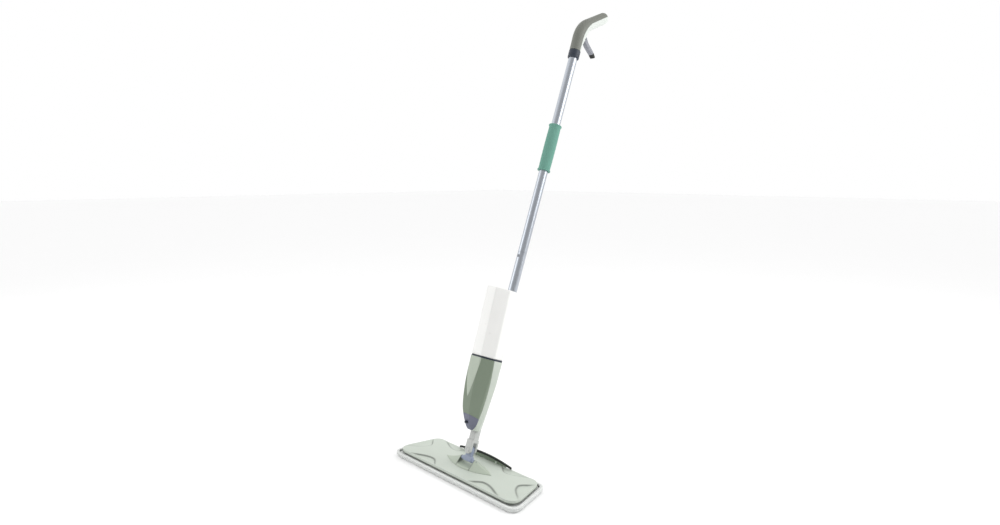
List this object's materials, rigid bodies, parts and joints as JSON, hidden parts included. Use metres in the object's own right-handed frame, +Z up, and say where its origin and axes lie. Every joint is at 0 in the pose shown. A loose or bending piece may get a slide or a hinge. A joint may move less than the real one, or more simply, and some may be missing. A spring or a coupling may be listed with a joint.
{
  "type": "spray mop",
  "caption": "Spray mop with a flat swivelling head, microfibre pad, flip-up squeegee, clip-in bottle, two-section tube handle and a bent grip with a spray trigger.",
  "frame": {"origin": "centre of the pad underside, on the floor", "axes": "+Z up; +X along the head; -Y the side the nozzle sprays to; the handle leans back towards +Y by 21 degrees at rest"},
  "size_m": [0.4104, 0.5623, 1.1065],
  "materials": {
    "sage_pale": "moulded plastic, fine satin texture",
    "sage_light": "moulded plastic, fine satin texture",
    "sage_dark": "moulded plastic, fine satin texture",
    "edge_grey": "moulded plastic, matte",
    "slate": "moulded plastic, satin",
    "slate_blue": "moulded plastic, satin",
    "neck_grey": "moulded plastic, satin",
    "charcoal": "moulded plastic, satin",
    "grip_dark": "moulded plastic, fine matte texture",
    "grip_light": "moulded plastic, satin",
    "trigger_grey": "moulded plastic, satin",
    "white_plastic": "blow-moulded polyethylene, soft gloss",
    "inner_grey": "moulded plastic, plain",
    "teal_foam": "soft closed-cell foam",
    "black_rubber": "soft moulded rubber",
    "clear_hose": "flexible hose",
    "pad_white": "microfibre pile and stitched binding",
    "hook_grey": "hook tape",
    "aluminium": "anodised, fine drawn finish",
    "steel": "plated steel"
  },
  "bodies": {
    "handle": {"neck": "neck_grey", "swing_pin": "neck_grey", "swing_pin_cap": "neck_grey", "holder_front_shell": "sage_dark", "holder_front_tongue": "sage_light", "holder_rear_shell": "sage_pale", "nose_cap": "slate", "spray_nozzle": "charcoal", "bottle_seat_ring": "charcoal", "bottle_back_column": "white_plastic", "valve_seat": "inner_grey", "pump_body": "inner_grey", "pump_spring": "steel", "inlet_hose": "clear_hose", "outlet_hose": "clear_hose", "lower_tube": "aluminium", "upper_tube": "aluminium", "tube_coupling_sleeve": "inner_grey", "snap_spring": "steel", "mid_grip": "teal_foam", "collar": "charcoal", "grip_lower_shell": "grip_light", "grip_top_cover": "grip_dark", "trigger_pin": "steel", "trigger_spring": "steel", "rod_guide_lower": "inner_grey", "rod_guide_upper": "inner_grey"},
    "head": {"head_base_plate": "edge_grey", "head_cover": "sage_pale", "pivot_mount": "sage_light", "pitch_pin": "steel", "mount_screw_left": "steel", "mount_screw_right": "steel", "squeegee_pin_left": "charcoal", "squeegee_pin_right": "charcoal", "hook_strip_front": "hook_grey", "hook_strip_back": "hook_grey"},
    "mop_pad": {"pad_pile": "pad_white", "pad_backing": "pad_white", "pad_binding": "pad_white"},
    "squeegee": {"squeegee_holder": "sage_dark", "squeegee_blade": "black_rubber"},
    "cradle": {"cradle": "slate_blue"},
    "trigger": {"trigger": "trigger_grey", "trigger_tip": "black_rubber"},
    "spray_rod": {"push_rod": "steel", "rod_link": "inner_grey", "pump_plunger": "inner_grey", "plunger_seal": "black_rubber"},
    "bottle": {"bottle_body": "white_plastic", "bottle_cap": "white_plastic", "valve_poppet": "charcoal"},
    "snap_button": {"snap_button": "trigger_grey"}
  },
  "joints": [
    {"name": "head_swing", "type": "hinge", "parent": "handle", "child": "cradle", "pos_m": [0, 0.00817, 0.05529], "axis": [0, 0.9336, -0.3584], "range_deg": [-60, 60]},
    {"name": "head_pitch", "type": "hinge", "parent": "cradle", "child": "head", "pos_m": [0, 0, 0.034], "axis": [1, 0, 0], "range_deg": [-66, 54]},
    {"name": "pad_peel", "type": "slide", "parent": "head", "child": "mop_pad", "axis": [0, 0, -1], "range_m": [0, 0.05]},
    {"name": "squeegee_flip", "type": "hinge", "parent": "head", "child": "squeegee", "pos_m": [0, 0.052, 0.0229], "axis": [1, 0, 0], "range_deg": [0, 70]},
    {"name": "trigger_squeeze", "type": "hinge", "parent": "handle", "child": "trigger", "pos_m": [0, 0.40543, 1.02878], "axis": [1, 0, 0], "range_deg": [0, 22], "stiffness_Nm_per_rad": 0.5, "springref_deg": -11.46},
    {"name": "spray_rod_push", "type": "slide", "parent": "handle", "child": "spray_rod", "axis": [0, -0.3584, -0.9336], "range_m": [0, 0.00635]},
    {"name": "bottle_lift", "type": "slide", "parent": "handle", "child": "bottle", "axis": [0, 0.3584, 0.9336], "range_m": [0, 0.1]},
    {"name": "snap_button_press", "type": "slide", "parent": "handle", "child": "snap_button", "axis": [0, 0.9336, -0.3584], "range_m": [0, 0.003], "stiffness_N_per_m": 400, "springref_m": -0.003}
  ],
  "couplings": [
    {"joint": "spray_rod_push", "follows": "trigger_squeeze", "m_per_rad": 0.0165}
  ]
}
